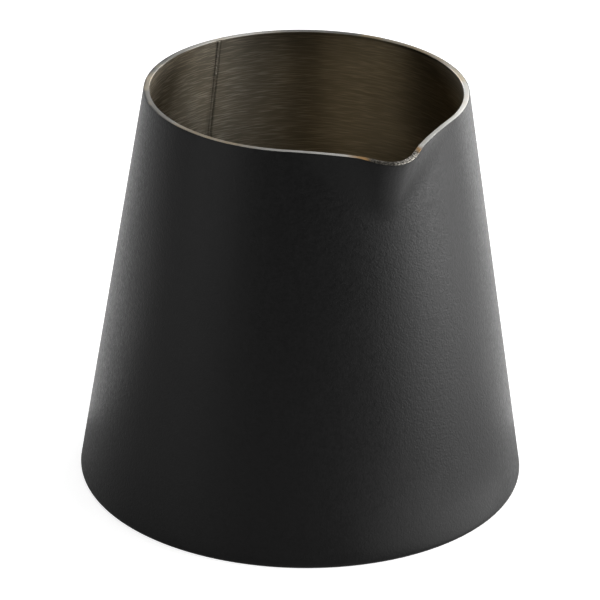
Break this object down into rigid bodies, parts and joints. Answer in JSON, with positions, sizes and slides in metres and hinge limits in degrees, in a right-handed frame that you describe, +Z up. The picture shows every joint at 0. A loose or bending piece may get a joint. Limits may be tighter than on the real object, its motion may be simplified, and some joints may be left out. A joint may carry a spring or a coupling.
{
  "type": "milk frothing pitcher",
  "caption": "Handleless frothing pitcher: a tapered steel cone, wide at the foot, black coated outside and bare inside, with a small pressed pouring spout.",
  "frame": {"origin": "centre of the foot, on the floor", "axes": "+Z up along the cone's axis, +X towards the pouring spout, +Y completes a right-handed frame"},
  "size_m": [0.0896, 0.0896, 0.0825],
  "materials": {
    "brushed_steel_wall": "bare stainless sheet, brushed round the inside, warm olive-brown tone; rim ground bright",
    "brushed_steel_base": "bare stainless disc, brushed in circles, standing ring ground",
    "weld_steel": "weld bead: rippled inside, ground flush outside",
    "black_coat": "satin black coat with a fine grain"
  },
  "bodies": {
    "root": {"body_wall": "brushed_steel_wall", "side_seam_weld": "weld_steel", "base_plate": "brushed_steel_base", "base_seam_weld": "weld_steel", "outer_coating": "black_coat"}
  },
  "joints": []
}
